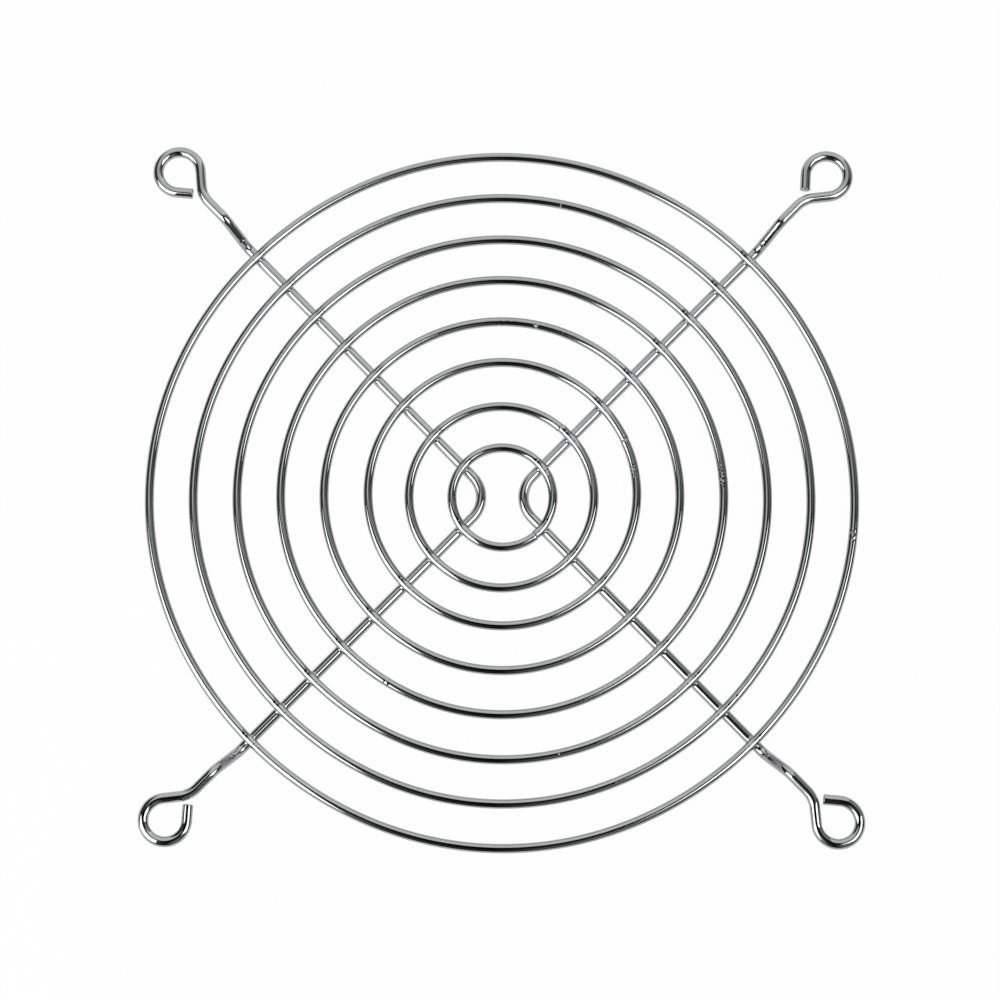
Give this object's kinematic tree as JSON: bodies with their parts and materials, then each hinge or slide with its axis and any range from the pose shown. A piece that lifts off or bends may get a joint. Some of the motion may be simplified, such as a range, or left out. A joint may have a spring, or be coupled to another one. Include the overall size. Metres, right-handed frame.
{
  "type": "wire fan guard",
  "caption": "Round fan guard of concentric wire rings welded across two bent support wires, with a screw eye at each corner.",
  "frame": {"origin": "on the fan axis, level with the undersides of the two support wires, which is the centre of the bounding box's base", "axes": "+Z along the fan axis towards the fan, so the rings and the raised screw eyes face up; X and Y run along the sides of the square of screw eyes"},
  "size_m": [0.114, 0.114, 0.0065],
  "materials": {
    "ring_wire": "bright chrome plated steel wire",
    "support_wire": "bright chrome plated steel wire"
  },
  "bodies": {
    "root": {"support_wire_left": "support_wire", "support_wire_right": "support_wire", "ring_1": "ring_wire", "ring_2": "ring_wire", "ring_3": "ring_wire", "ring_4": "ring_wire", "ring_5": "ring_wire", "ring_6": "ring_wire", "ring_7": "ring_wire", "ring_8": "ring_wire"}
  },
  "joints": []
}
